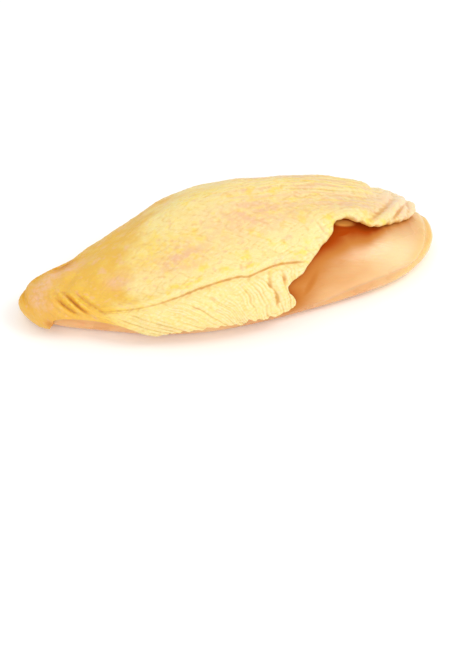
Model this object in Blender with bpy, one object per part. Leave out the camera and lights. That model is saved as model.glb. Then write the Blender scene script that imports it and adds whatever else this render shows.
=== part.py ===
"""Raw chicken breast, boneless, with its skin on, lying skin side up.

The meat is one smooth closed form, made by stretching a sphere to a breast: a pointed end at -X, a thick
end at +X, a flat underside. The skin is a second solid, laid over the meat with a thin gap. Places on the
skin are given in millimetres on the skin laid flat: "along" from the crown's middle towards the thick end,
and "across" towards the back.
"""

import math

import bmesh
import bpy
import numpy as np

MM = 0.001

# The meat's form, in millimetres. Each row has nine stations, from the pointed end to the thick end.
HALF_LENGTH = 85.8
MIDDLE_X = 1.7
MIDDLE_Y = 15.9
CREST_Y = (-12.0, -9.5, -6.5, -4.5, -3.5, -4.5, -7.5, -12.5, -18.0)
REACH_FRONT = (26.6, 31.0, 39.6, 44.0, 45.6, 45.6, 46.0, 46.6, 45.4)
REACH_BACK = (22.6, 17.0, 19.8, 22.2, 21.6, 22.0, 22.4, 21.4, 12.0)
CROWN_RISE = (20.0, 14.2, 18.6, 23.8, 24.5, 23.6, 23.5, 20.4, 13.5)
WIDEST_AT = (7.0, 6.0, 6.0, 7.0, 8.0, 8.0, 8.0, 8.0, 8.0)
FLAT_BELOW = 0.55

# The skin's size laid flat, from the crown's middle to the widest line.
FLAT_LENGTH = 95.0
FLAT_GIRTH = 57.0

# The skin and its gap to the meat, in millimetres.
SKIN_GAP = 0.55
SKIN_THICKNESS = 2.2
SKIN_AT_THINNEST = 0.7
EDGE_BULGE = 0.7

# The skin's outline laid flat, as four sides that share their corners.
TIP_CORNER = (-87.0, -24.0)
HEM_CORNER = (11.8, -54.2)
THICK_CORNER = (66.5, -5.5)
BACK_CORNER = (-80.0, 42.0)
HEM_SIDE = (
    TIP_CORNER, (-80.0, -23.5), (-69.0, -30.0), (-60.0, -37.0), (-53.0, -43.5), (-50.5, -50.0),
    (-42.5, -51.5), (-34.2, -52.3), (-25.8, -53.4), (-18.5, -54.3), (-10.2, -56.5), (-7.6, -54.6),
    (-4.0, -56.6), (2.0, -57.2), (7.5, -56.6), HEM_CORNER,
)
ARCH_SIDE = (
    HEM_CORNER, (12.3, -51.2), (10.8, -47.8), (9.2, -45.4), (9.0, -43.0), (10.4, -41.2), (13.8, -39.0),
    (16.5, -36.0), (19.3, -31.8), (21.7, -28.6), (24.4, -25.4), (26.6, -22.6), (27.4, -19.6),
    (31.0, -17.3), (36.5, -18.3), (43.0, -19.0), (52.0, -14.7), (60.0, -10.4), THICK_CORNER,
)
BACK_SIDE = (
    BACK_CORNER, (-55.0, 54.0), (-30.0, 60.0), (0.0, 63.0), (25.0, 61.0), (52.0, 53.0),
    (66.0, 37.0), (72.5, 17.0), (71.5, 4.0), THICK_CORNER,
)
TIP_SIDE = (TIP_CORNER, (-95.0, -22.0), (-103.0, -11.0), (-105.0, 5.0), (-98.0, 24.0), BACK_CORNER)
HEM_SCALLOPS = ((0.45, 5.3),)
SCALLOPS_FROM, SCALLOPS_BEGIN, SCALLOPS_END = 0.42, 0.1, 0.06
PLAN_CELLS = (84, 48)
PLAN_ROUNDS = 2500

# The crease above the hem, where the skin is folded over itself.
CREASE = (
    (-60.0, -27.5), (-53.0, -31.0), (-40.0, -34.1), (-28.0, -34.7), (-18.0, -34.3), (-7.0, -34.5),
    (-3.0, -35.4), (6.0, -33.4), (12.5, -33.4), (18.0, -34.2),
)
CREASE_DEPTH = 1.7
CREASE_LIP = 1.1
CREASE_WIDTH = 1.9
CREASE_BEGIN, CREASE_END = 9.0, 5.0
CURVE_STEPS = 16
LINE_STEPS = 200
SLOPE_STEP = 0.05
HEM_SWELL, HEM_ROUNDNESS = 1.0, 0.7
HEM_WIDTH = 21.0
HEM_PLEAT, HEM_PLEAT_PITCH = 0.45, 3.7
HEM_PLEATS_BEGIN = 9.5
HEM_LEAN = -0.5
HEM_WAVE, HEM_WAVE_PITCH = 1.2, 33.3

# Folds: start, end, height and half width. A height below zero is a valley. Their ends keep a share of it.
RIDGE_ENDS = 0.35
FOLDS = (
    ((-65.3, -8.5), (-63.8, -27.5), 1.5, 1.4),
    ((-60.6, -14.0), (-59.2, -33.0), 1.6, 1.5),
    ((-71.0, -12.0), (-70.0, -29.0), 1.0, 1.8),
    ((-76.0, -18.0), (-73.0, -28.0), 0.9, 1.7),
    ((-62.4, -11.5), (-62.0, -28.0), -1.2, 0.9),
    ((-57.3, -13.0), (-55.3, -31.0), -1.2, 1.1),
    ((-68.2, -13.0), (-66.8, -27.0), -1.0, 1.0),
    ((-52.0, -2.0), (-61.0, -10.5), -0.8, 2.2),
    ((-53.0, 25.0), (-62.0, 11.0), -1.2, 1.7),
    ((-79.0, 8.0), (-74.0, -3.0), 0.8, 2.0),
    ((-84.0, 10.0), (-86.0, -8.0), -0.8, 1.8),
    ((40.5, -18.5), (55.0, -3.0), -1.5, 1.7),
    ((50.0, -2.0), (54.5, 24.0), -1.9, 2.4),
    ((43.5, -18.5), (54.0, -5.5), 1.5, 1.7),
    ((47.5, -17.5), (61.0, 2.0), 1.5, 1.9),
    ((50.5, -15.5), (60.0, -4.0), -1.1, 1.2),
    ((55.0, -13.5), (65.0, 6.0), 1.5, 2.2),
    ((60.0, -10.0), (68.5, 7.0), -1.2, 1.4),
    ((64.0, -6.0), (71.0, 9.0), 0.8, 2.2),
    ((60.0, 8.0), (69.0, 24.0), 0.9, 3.4),
    ((30.5, -15.5), (41.5, -13.0), 1.0, 2.2),
    ((33.5, -8.0), (46.0, -3.5), -0.8, 2.0),
    ((4.5, -45.5), (5.2, -52.0), -1.2, 0.9),
    ((8.0, -36.5), (8.4, -42.0), -0.9, 0.8),
    ((5.6, -37.0), (6.0, -44.0), 0.9, 1.5),
    ((3.4, -35.5), (2.6, -43.0), -0.7, 0.9),
)
UNEVEN = ((0.35, 47.0, 20.0, 0.4), (0.3, 29.0, -75.0, 2.1), (0.2, 21.0, 55.0, 4.0), (0.15, 13.0, -20.0, 1.3))

# The skin lifts off the meat along the arched edge, most at the notch.
ARCH_TOP = (31.5, -17.5)
ARCH_LIFT = 2.6
ARCH_REACH_ALONG = 15.0
ARCH_REACH_ACROSS = 7.0

# The meat's own relief: start, end, depth and half width, on the same flat plan.
GROOVES = (
    ((30.0, -60.0), (82.0, -32.0), -1.3, 2.6),
    ((76.0, -34.0), (82.0, 4.0), -1.4, 2.0),
    ((20.0, -40.0), (34.0, -22.0), -0.3, 4.0),
)
GROOVES_FROM, GROOVES_BEGIN = -0.35, 0.25
FLAT_LIMIT = 120.0

# Faces
MEAT_CUTS = 15
SKIN_ACROSS, SKIN_ALONG = 46, 82
LINING_ACROSS, LINING_ALONG = 27, 42
HEM_CROWDING = 1.45
TIP_CROWDING = 1.12

# The edge ring's share of the thickness, and the materials
EDGE_SHARE = 0.5
MEAT_COLOUR, MEAT_ROUGHNESS = (0.87, 0.50, 0.27), 0.3
SKIN_COLOUR, SKIN_ROUGHNESS = (0.95, 0.74, 0.36), 0.45


def smooth_step(x):
    x = np.clip(x, 0, 1)
    return x * x * (3 - 2 * x)


def along_stations(values, share):
    """A smooth curve through evenly spaced stations, read at share, from -1 to 1."""
    values = np.asarray(values, float)
    last = len(values) - 1
    place = np.clip((share + 1) / 2 * last, 0, last - 1e-9)
    left = np.floor(place).astype(int)
    t = place - left
    slope = np.gradient(values)
    start, end = values[left], values[left + 1]
    go, come = slope[left], slope[left + 1]
    return (
        (2 * t**3 - 3 * t**2 + 1) * start
        + (t**3 - 2 * t**2 + t) * go
        + (3 * t**2 - 2 * t**3) * end
        + (t**3 - t**2) * come
    )


def breast_form(ball):
    """Stretches points of a unit ball to the meat's form, in millimetres."""
    lengthwise, sideways, upward = ball[..., 0], ball[..., 1], ball[..., 2]
    reach = np.where(
        sideways < 0,
        along_stations(REACH_FRONT, lengthwise),
        along_stations(REACH_BACK, lengthwise),
    )
    widest = along_stations(WIDEST_AT, lengthwise)
    rise = widest + along_stations(CROWN_RISE, lengthwise) * upward
    tuck = widest * (1 - np.sin(np.clip(-upward / FLAT_BELOW, 0, 1) * math.pi / 2))
    x = MIDDLE_X + HALF_LENGTH * lengthwise
    y = MIDDLE_Y + along_stations(CREST_Y, lengthwise) + reach * sideways
    return np.stack([x, y, np.where(upward >= 0, rise, tuck)], axis=-1)


def ball_from_flat(flat):
    """The point of the unit ball under a place on the flat plan: a quarter turn is the widest line."""
    scaled = flat / (FLAT_LENGTH, FLAT_GIRTH)
    turn = np.hypot(scaled[..., 0], scaled[..., 1])
    angle = turn * math.pi / 2
    spread = np.where(turn > 1e-6, np.sin(angle) / np.maximum(turn, 1e-6), math.pi / 2)
    return np.stack([spread * scaled[..., 0], spread * scaled[..., 1], np.cos(angle)], axis=-1)


def flat_from_ball(ball):
    """The place on the flat plan over a point of the unit ball."""
    angle = np.arccos(np.clip(ball[..., 2], -1, 1))
    level = np.maximum(np.hypot(ball[..., 0], ball[..., 1]), 1e-9)
    turn = angle / (math.pi / 2) / level
    return np.stack([ball[..., 0] * turn * FLAT_LENGTH, ball[..., 1] * turn * FLAT_GIRTH], axis=-1)


def breast_normal(flat):
    """The outward direction of the meat's form at places on the flat plan."""
    along, across = (SLOPE_STEP, 0), (0, SLOPE_STEP)
    east = breast_form(ball_from_flat(flat + along)) - breast_form(ball_from_flat(flat - along))
    north = breast_form(ball_from_flat(flat + across)) - breast_form(ball_from_flat(flat - across))
    normal = np.cross(east, north)
    return normal / np.linalg.norm(normal, axis=-1, keepdims=True)


def smooth_path(points, share):
    """A Catmull-Rom curve through points, read at share of its length, from 0 to 1."""
    knots = np.array([points[0], *points, points[-1]], float)
    knots[0] = 2 * knots[1] - knots[2]
    knots[-1] = 2 * knots[-2] - knots[-3]
    t = np.linspace(0, 1, CURVE_STEPS, endpoint=False)[:, None]
    runs = []
    for a, b, c, d in zip(knots, knots[1:], knots[2:], knots[3:]):
        runs.append(
            b + t * (c - a) / 2 + t**2 * (a - 2.5 * b + 2 * c - d / 2) + t**3 * ((d - a) / 2 + 1.5 * (b - c))
        )
    line = np.concatenate([*runs, knots[-2:-1]])
    length = np.concatenate([[0], np.cumsum(np.linalg.norm(np.diff(line, axis=0), axis=1))])
    at = np.asarray(share) * length[-1]
    return np.stack([np.interp(at, length, line[:, k]) for k in (0, 1)], axis=-1)


def hem_side(share):
    """The front side of the outline, with the ragged scallops of the hem's edge."""
    line = smooth_path(HEM_SIDE, share)
    ragged = sum(size * np.sin(line[..., 0] * 2 * math.pi / pitch + pitch) for size, pitch in HEM_SCALLOPS)
    begin = smooth_step((share - SCALLOPS_FROM) / SCALLOPS_BEGIN)
    line[..., 1] += ragged * begin * smooth_step((1 - share) / SCALLOPS_END)
    return line


def back_side(share):
    return smooth_path(BACK_SIDE, share)


def tip_side(share):
    return smooth_path(TIP_SIDE, share)


def arch_side(share):
    return smooth_path(ARCH_SIDE, share)


SKIN_SIDES = (hem_side, back_side, tip_side, arch_side)


def blend_sides(s, t, front, back, left, right):
    """Fills four sides that share their corners. Each side is given as places at s or at t."""
    corners = [side(np.array(end)) for side, end in ((front, 0.0), (front, 1.0), (back, 0.0), (back, 1.0))]
    front, back, left, right = front(s), back(s), left(t), right(t)
    s, t = s[..., None], t[..., None]
    across = (1 - t) * front + t * back + (1 - s) * left + s * right
    near = (1 - s) * (1 - t) * corners[0] + s * (1 - t) * corners[1]
    return across - near - (1 - s) * t * corners[2] - s * t * corners[3]


def relaxed_plan():
    """A coarse plan of the skin: its lines start as a blend of the sides, and spread until none cross."""
    steps = [np.linspace(0, 1, cells + 1) for cells in PLAN_CELLS]
    s, t = np.meshgrid(*steps, indexing="ij")
    plan = blend_sides(s, t, *SKIN_SIDES)
    for _ in range(PLAN_ROUNDS):
        east = (plan[2:, 1:-1] - plan[:-2, 1:-1]) / 2
        north = (plan[1:-1, 2:] - plan[1:-1, :-2]) / 2
        skew = (plan[2:, 2:] - plan[2:, :-2] - plan[:-2, 2:] + plan[:-2, :-2]) / 4
        pull = (north**2).sum(-1, keepdims=True)
        push = (east**2).sum(-1, keepdims=True)
        lean = (east * north).sum(-1, keepdims=True)
        lengthwise = pull * (plan[2:, 1:-1] + plan[:-2, 1:-1])
        sideways = push * (plan[1:-1, 2:] + plan[1:-1, :-2])
        plan[1:-1, 1:-1] = (lengthwise + sideways - 2 * lean * skew) / (2 * (pull + push))
    return plan


def read_plan(plan, s, t):
    """Places of a coarse plan between its crossings."""
    x, y = s * PLAN_CELLS[0], t * PLAN_CELLS[1]
    i = np.clip(np.floor(x).astype(int), 0, PLAN_CELLS[0] - 1)
    j = np.clip(np.floor(y).astype(int), 0, PLAN_CELLS[1] - 1)
    x, y = (x - i)[..., None], (y - j)[..., None]
    low = plan[i, j] * (1 - x) + plan[i + 1, j] * x
    high = plan[i, j + 1] * (1 - x) + plan[i + 1, j + 1] * x
    return low * (1 - y) + high * y


def skin_plan(s, t):
    """The flat plan of the skin: s runs from the pointed end to the thick end, t from the hem to the back."""
    plan = relaxed_plan()
    front, back, left, right = SKIN_SIDES
    missing = blend_sides(
        s,
        t,
        lambda share: front(share) - read_plan(plan, share, 0 * share),
        lambda share: back(share) - read_plan(plan, share, 0 * share + 1),
        lambda share: left(share) - read_plan(plan, 0 * share, share),
        lambda share: right(share) - read_plan(plan, 0 * share + 1, share),
    )
    return read_plan(plan, s, t) + missing


def ridge(flat, start, end, height, half_width):
    """A rounded ridge, or a valley, from start to end that runs out softly at both ends."""
    start, end = np.array(start), np.array(end)
    run = end - start
    length = math.hypot(*run)
    past = np.clip((flat - start) @ run / length**2, 0, 1)
    away = np.linalg.norm(flat - (start + past[..., None] * run), axis=-1)
    fade = RIDGE_ENDS + (1 - RIDGE_ENDS) * np.sin(past * math.pi)
    return height * fade * np.exp(-((away / half_width) ** 2))


def uneven(flat):
    """Slow swells of the surface."""
    total = np.zeros(flat.shape[:-1])
    for size, pitch, heading, phase in UNEVEN:
        way = (math.cos(math.radians(heading)), math.sin(math.radians(heading)))
        total += size * np.sin(flat @ way * 2 * math.pi / pitch + phase)
    return total


def hem_relief(flat):
    """The crease with its lip above, and the pleated hem that swells below it."""
    line = smooth_path(CREASE, np.linspace(0, 1, LINE_STEPS))
    below = np.interp(flat[..., 0], line[:, 0], line[:, 1]) - flat[..., 1]
    begin = smooth_step((flat[..., 0] - CREASE[0][0]) / CREASE_BEGIN)
    within = begin * smooth_step((CREASE[-1][0] - flat[..., 0]) / CREASE_END)
    lip = CREASE_LIP * np.exp(-(((below + CREASE_WIDTH) / CREASE_WIDTH) ** 2))
    cut = -CREASE_DEPTH * np.exp(-(((below - 0.4 * CREASE_WIDTH) / CREASE_WIDTH) ** 2))
    swell = HEM_SWELL * np.sin(np.clip(below / HEM_WIDTH, 0, 1) * math.pi) ** HEM_ROUNDNESS
    wave = HEM_WAVE * np.sin(flat[..., 0] * 2 * math.pi / HEM_WAVE_PITCH)
    leaning = flat[..., 0] + HEM_LEAN * below + wave
    pleats = HEM_PLEAT * np.sin(leaning * 2 * math.pi / HEM_PLEAT_PITCH)
    return within * (lip + cut + swell + pleats * smooth_step(below / HEM_PLEATS_BEGIN))


def skin_thickness(flat):
    """The skin's thickness with its folds, hem and swells, kept above its thinnest."""
    folds = sum(ridge(flat, *fold) for fold in FOLDS)
    spare = SKIN_THICKNESS + folds + hem_relief(flat) + uneven(flat) - SKIN_AT_THINNEST
    return SKIN_AT_THINNEST + (spare + np.sqrt(spare**2 + SKIN_AT_THINNEST**2)) / 2


def arch_lift(flat):
    """How far the skin stands off the meat near the notch of its edge."""
    reach = (flat - ARCH_TOP) / (ARCH_REACH_ALONG, ARCH_REACH_ACROSS)
    return ARCH_LIFT * np.exp(-(reach**2).sum(-1))


def meat_points(ball):
    """The meat's surface, in metres, over points of the unit ball."""
    flat = np.clip(flat_from_ball(ball), -FLAT_LIMIT, FLAT_LIMIT)
    points = breast_form(ball)
    grooved = sum(ridge(flat, *groove) for groove in GROOVES)
    upper = smooth_step((ball[..., 2] - GROOVES_FROM) / GROOVES_BEGIN)
    points += breast_normal(flat) * (grooved * upper)[..., None]
    points[..., 2] = np.maximum(points[..., 2], 0)
    return points * MM


def skin_points(flat, share):
    """The skin, in metres: share 0 is the face towards the meat, and 1 the outer face."""
    offset = SKIN_GAP + arch_lift(flat) + skin_thickness(flat) * share
    return (breast_form(ball_from_flat(flat)) + breast_normal(flat) * offset[..., None]) * MM


def read_places(vertices):
    return np.array([vertex.co[:] for vertex in vertices])


def move_vertices(vertices, points):
    for vertex, point in zip(vertices, points):
        vertex.co = point


def make_meat():
    """The meat: a finely cut cube, blown up to a ball and stretched to the breast."""
    mesh = bmesh.new()
    bmesh.ops.create_cube(mesh, size=2)
    bmesh.ops.subdivide_edges(mesh, edges=mesh.edges[:], cuts=MEAT_CUTS, use_grid_fill=True)
    places = np.tan(read_places(mesh.verts) * math.pi / 4)
    move_vertices(mesh.verts, meat_points(places / np.linalg.norm(places, axis=1, keepdims=True)))
    return finish_object(mesh, "meat", MEAT_COLOUR, MEAT_ROUGHNESS)


def add_sheet(mesh, along, across, share):
    """One face of the skin as a grid. Returns its vertices, their flat places and its boundary edges."""
    sheet = bmesh.ops.create_grid(mesh, x_segments=along, y_segments=across, size=1)["verts"]
    places = (read_places(sheet) + 1) / 2
    flat = skin_plan(places[:, 0] ** TIP_CROWDING, places[:, 1] ** HEM_CROWDING)
    move_vertices(sheet, skin_points(flat, share))
    edges = {edge for vertex in sheet for edge in vertex.link_edges if edge.is_boundary}
    return sheet, flat, list(edges)


def make_skin():
    """The skin: an outer face and a coarser lining, joined all round by a rounded edge."""
    mesh = bmesh.new()
    outer, flat, rim = add_sheet(mesh, SKIN_ALONG, SKIN_ACROSS, 1.0)
    places = dict(zip(outer, flat))
    grown = bmesh.ops.extrude_edge_only(mesh, edges=rim)["geom"]
    edge_vertices = [item for item in grown if isinstance(item, bmesh.types.BMVert)]
    edge_loop = [item for item in grown if isinstance(item, bmesh.types.BMEdge) and item.is_boundary]
    sources = [
        next(edge.other_vert(vertex) for edge in vertex.link_edges if edge.other_vert(vertex) in places)
        for vertex in edge_vertices
    ]
    edge_flat = np.array([places[source] for source in sources])
    outward = edge_flat / np.linalg.norm(edge_flat, axis=1, keepdims=True)
    move_vertices(edge_vertices, skin_points(edge_flat + outward * EDGE_BULGE, EDGE_SHARE))
    lining_rim = add_sheet(mesh, LINING_ALONG, LINING_ACROSS, 0.0)[2]
    bmesh.ops.bridge_loops(mesh, edges=edge_loop + lining_rim)
    return finish_object(mesh, "skin", SKIN_COLOUR, SKIN_ROUGHNESS)


def finish_object(mesh, name, colour, roughness):
    """Makes the named object, closed, facing out and shaded smooth, with its material."""
    bmesh.ops.triangulate(mesh, faces=mesh.faces[:])
    bmesh.ops.recalc_face_normals(mesh, faces=mesh.faces[:])
    data = bpy.data.meshes.new(name)
    mesh.to_mesh(data)
    mesh.free()
    data.shade_smooth()
    material = bpy.data.materials.new(name)
    material.use_nodes = True
    shader = material.node_tree.nodes["Principled BSDF"]
    shader.inputs["Base Color"].default_value = (*colour, 1.0)
    shader.inputs["Roughness"].default_value = roughness
    shader.inputs["Metallic"].default_value = 0.0
    data.materials.append(material)
    return bpy.data.objects.new(name, data)


def main():
    for old in list(bpy.data.objects):
        bpy.data.objects.remove(old)
    collection = bpy.data.collections.new("chicken_breast")
    bpy.context.scene.collection.children.link(collection)
    for piece in (make_meat(), make_skin()):
        collection.objects.link(piece)


main()
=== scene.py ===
"""Looks of the raw chicken breast: its wet skin with goose pimples, folds and hem, and the meat under it."""

import math

import bmesh
import bpy
import numpy as np
from mathutils import Matrix


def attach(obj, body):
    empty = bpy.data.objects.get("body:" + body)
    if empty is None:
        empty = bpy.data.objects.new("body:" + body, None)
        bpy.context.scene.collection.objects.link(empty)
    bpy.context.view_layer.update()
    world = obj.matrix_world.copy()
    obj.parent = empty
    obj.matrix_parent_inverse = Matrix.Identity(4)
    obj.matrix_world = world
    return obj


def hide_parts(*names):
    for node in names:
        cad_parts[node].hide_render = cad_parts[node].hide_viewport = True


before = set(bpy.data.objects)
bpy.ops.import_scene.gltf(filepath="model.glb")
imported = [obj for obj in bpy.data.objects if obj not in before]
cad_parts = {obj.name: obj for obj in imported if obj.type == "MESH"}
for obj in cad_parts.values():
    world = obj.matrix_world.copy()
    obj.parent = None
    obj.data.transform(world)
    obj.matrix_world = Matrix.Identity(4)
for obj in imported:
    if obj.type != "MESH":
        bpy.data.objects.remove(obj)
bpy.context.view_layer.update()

MM = 0.001
SEED = 11
NOISE_CELLS = 64

# The meat's form, in millimetres. Each row has nine stations, from the pointed end to the thick end.
HALF_LENGTH = 85.8
MIDDLE_X = 1.7
MIDDLE_Y = 15.9
CREST_Y = (-12.0, -9.5, -6.5, -4.5, -3.5, -4.5, -7.5, -12.5, -18.0)
REACH_FRONT = (26.6, 31.0, 39.6, 44.0, 45.6, 45.6, 46.0, 46.6, 45.4)
REACH_BACK = (22.6, 17.0, 19.8, 22.2, 21.6, 22.0, 22.4, 21.4, 12.0)
CROWN_RISE = (20.0, 14.2, 18.6, 23.8, 24.5, 23.6, 23.5, 20.4, 13.5)
WIDEST_AT = (7.0, 6.0, 6.0, 7.0, 8.0, 8.0, 8.0, 8.0, 8.0)
FLAT_BELOW = 0.55

# The skin's size laid flat, from the crown's middle to the widest line.
FLAT_LENGTH = 95.0
FLAT_GIRTH = 57.0

# The skin and its gap to the meat, in millimetres.
SKIN_GAP = 0.55
SKIN_THICKNESS = 2.2
SKIN_AT_THINNEST = 0.7
EDGE_BULGE = 0.7

# The skin's outline laid flat, as four sides that share their corners.
TIP_CORNER = (-87.0, -24.0)
HEM_CORNER = (11.8, -54.2)
THICK_CORNER = (66.5, -5.5)
BACK_CORNER = (-80.0, 42.0)
HEM_SIDE = (
    TIP_CORNER, (-80.0, -23.5), (-69.0, -30.0), (-60.0, -37.0), (-53.0, -43.5), (-50.5, -50.0),
    (-42.5, -51.5), (-34.2, -52.3), (-25.8, -53.4), (-18.5, -54.3), (-10.2, -56.5), (-7.6, -54.6),
    (-4.0, -56.6), (2.0, -57.2), (7.5, -56.6), HEM_CORNER,
)
ARCH_SIDE = (
    HEM_CORNER, (12.3, -51.2), (10.8, -47.8), (9.2, -45.4), (9.0, -43.0), (10.4, -41.2), (13.8, -39.0),
    (16.5, -36.0), (19.3, -31.8), (21.7, -28.6), (24.4, -25.4), (26.6, -22.6), (27.4, -19.6),
    (31.0, -17.3), (36.5, -18.3), (43.0, -19.0), (52.0, -14.7), (60.0, -10.4), THICK_CORNER,
)
BACK_SIDE = (
    BACK_CORNER, (-55.0, 54.0), (-30.0, 60.0), (0.0, 63.0), (25.0, 61.0), (52.0, 53.0),
    (66.0, 37.0), (72.5, 17.0), (71.5, 4.0), THICK_CORNER,
)
TIP_SIDE = (TIP_CORNER, (-95.0, -22.0), (-103.0, -11.0), (-105.0, 5.0), (-98.0, 24.0), BACK_CORNER)

# Scallops of the outline: size and pitch. They begin and end over shares of a side's length.
HEM_SCALLOPS = ((0.45, 5.3), (0.2, 3.1), (0.1, 1.9))
SCALLOPS_FROM, SCALLOPS_BEGIN, SCALLOPS_END = 0.42, 0.1, 0.06
ARCH_SCALLOPS = ((0.22, 5.1), (0.12, 2.9))
ARCH_SCALLOPS_BEGIN = 0.1

# The coarse plan that the skin's lines are read from
PLAN_CELLS = (84, 48)
PLAN_ROUNDS = 2500

# The crease above the hem, where the skin is folded over itself. It is deepest a share of its width below the
# line, and keeps the least sharpness and depth at the pointed end.
CREASE = (
    (-60.0, -27.5), (-53.0, -31.0), (-40.0, -34.1), (-28.0, -34.7), (-18.0, -34.3), (-7.0, -34.5),
    (-3.0, -35.4), (6.0, -33.4), (12.5, -33.4), (18.0, -34.2),
)
CREASE_DEPTH = 0.9
CREASE_LIP = 0.7
CREASE_WIDTH = 1.9
CREASE_BELOW = 0.4
CREASE_SLIT_DEPTH = 0.65
CREASE_SLIT_WIDTH = 0.36
CREASE_BEGIN, CREASE_END = 9.0, 5.0
CREASE_SHARP_FROM, CREASE_SHARP_OVER = -38.0, 16.0
CREASE_LEAST_SHARP, CREASE_LEAST_DEEP = 0.3, 0.4
CURVE_STEPS = 16
LINE_STEPS = 200
SLOPE_STEP = 0.05

# The hem below the crease. Its strands have a height, a pitch and a seed each, and the drifts that bend them
# have a height, a cell and a seed.
HEM_SWELL, HEM_ROUNDNESS = 1.0, 0.7
HEM_WIDTH = 21.0
HEM_STRANDS = ((0.34, 1.45, 50), (0.45, 4.1, 51), (0.5, 9.7, 52))
HEM_STRANDS_BEGIN = 7.0
HEM_STRAND_MIDDLE = 0.7
HEM_STRAND_SHARE, HEM_STRAND_CELL = 0.7, 5.0
HEM_DRIFTS = ((1.6, 7.0, 40), (0.5, 2.6, 41))
HEM_LEAN_LEFT, HEM_LEAN_RIGHT, HEM_LEAN_OVER = -0.95, -0.3, 42.0

# Folds: start, end, height and half width. A height below zero is a valley. Their ends keep a share of it.
RIDGE_ENDS = 0.35
TIP_FOLDS = (
    ((-65.3, -8.5), (-63.8, -27.5), 1.5, 1.4),
    ((-60.6, -14.0), (-59.2, -33.0), 1.6, 1.5),
    ((-71.0, -12.0), (-70.0, -29.0), 1.0, 1.8),
    ((-76.0, -18.0), (-73.0, -28.0), 0.9, 1.7),
    ((-62.4, -11.5), (-62.0, -28.0), -1.2, 0.9),
    ((-57.3, -13.0), (-55.3, -31.0), -1.2, 1.1),
    ((-68.2, -13.0), (-66.8, -27.0), -1.0, 1.0),
    ((-52.0, -2.0), (-61.0, -10.5), -0.8, 2.2),
    ((-53.0, 25.0), (-62.0, 11.0), -1.2, 1.7),
    ((-79.0, 8.0), (-74.0, -3.0), 0.8, 2.0),
    ((-84.0, 10.0), (-86.0, -8.0), -0.8, 1.8),
)
BUNCH_FOLDS = (
    ((40.5, -18.5), (55.0, -3.0), -1.5, 1.7),
    ((50.0, -2.0), (54.5, 24.0), -1.9, 2.4),
    ((43.5, -18.5), (54.0, -5.5), 1.5, 1.7),
    ((47.5, -17.5), (61.0, 2.0), 1.5, 1.9),
    ((50.5, -15.5), (60.0, -4.0), -1.1, 1.2),
    ((55.0, -13.5), (65.0, 6.0), 1.5, 2.2),
    ((60.0, -10.0), (68.5, 7.0), -1.2, 1.4),
    ((64.0, -6.0), (71.0, 9.0), 0.8, 2.2),
    ((60.0, 8.0), (69.0, 24.0), 0.9, 3.4),
    ((30.5, -15.5), (41.5, -13.0), 1.0, 2.2),
    ((33.5, -8.0), (46.0, -3.5), -0.8, 2.0),
)
HEM_FOLDS = (
    ((4.5, -45.5), (5.2, -52.0), -1.2, 0.9),
    ((8.0, -36.5), (8.4, -42.0), -0.9, 0.8),
    ((5.6, -37.0), (6.0, -44.0), 0.9, 1.5),
    ((3.4, -35.5), (2.6, -43.0), -0.7, 0.9),
)

# Slow swells of the skin: height, pitch, heading in degrees and phase.
UNEVEN = ((0.35, 47.0, 20.0, 0.4), (0.3, 29.0, -75.0, 2.1), (0.2, 21.0, 55.0, 4.0), (0.15, 13.0, -20.0, 1.3))

# Places with wrinkles and colours of their own: middle, and half width along and across.
BUNCH = ((60.0, 2.0), (14.0, 15.0))
TIP = ((-80.0, -8.0), (20.0, 24.0))
CROWN = ((34.0, 2.0), (34.0, 13.0))

# The skin lifts off the meat along the arched edge, most at the notch.
ARCH_TOP = (31.5, -17.5)
ARCH_LIFT = 2.6
ARCH_REACH_ALONG = 15.0
ARCH_REACH_ACROSS = 7.0

# Goose pimples. Each has a size of its own, drawn at random, which is a share of the height.
PIMPLE_PITCH = 2.35
PIMPLE_RADIUS = 0.68
PIMPLE_HEIGHT = 0.14
PIMPLE_JITTER = 0.28
PIMPLE_SIZE, PIMPLE_SPREAD = 0.75, 0.25
PIMPLE_DRAWS = (97, 89)

# Fine wrinkles: heading in degrees, cell along and across, seed, and share of their height.
CROSSED_HEIGHT = 0.112
CROSSED_WRINKLES = ((28.0, (4.2, 1.4), 1, 1.0), (-40.0, (3.8, 1.5), 2, 1.0))
CROWN_HEIGHT = 0.32
CROWN_HEADING = 5.0
CROWN_DRIFT = (1.4, 15.0, 4)
CROWN_WRINKLES = ((0.0, (34.0, 2.9), 3, 1.0), (0.0, (19.0, 1.7), 5, 0.6))
TIP_HEIGHT = 0.2
TIP_WRINKLES = ((80.0, (9.0, 2.6), 8, 1.0), (55.0, (5.0, 1.5), 9, 0.6))
TIP_MIDDLE = 1.25
TIP_SMOOTHED = 0.75
STRAND_VALLEY = 0.28

# Wrinkles that fan out over the bunched end
FAN_HEIGHT, FAN_MIDDLE = 1.2, 0.75
FAN_CENTRE = (42.0, -22.0)
FAN_RADIUS = 22.0
FAN_CELL, FAN_SEED = (3.0, 12.0), 7

# The meat's own relief: start, end, depth and half width, on the same flat plan.
GROOVES = (
    ((30.0, -60.0), (82.0, -32.0), -1.2, 3.4),
    ((76.0, -34.0), (82.0, 4.0), -1.0, 3.0),
    ((20.0, -40.0), (34.0, -22.0), -0.3, 4.0),
)
GROOVES_FROM, GROOVES_BEGIN = -0.35, 0.25
FLAT_LIMIT = 120.0

# The meat's grain: height, heading in degrees, cell along and across, and seed.
MEAT_GRAIN = ((0.05, -24.0, (17.0, 1.5), 20), (0.1, -18.0, (30.0, 5.0), 21))

# How far round a place, and how deep, its shading looks for fine and for broad hollows
FINE_HOLLOWS = (0.75, 0.11)
BROAD_HOLLOWS = (1.6, 0.8)
HOLLOW_STEPS = 8

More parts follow.
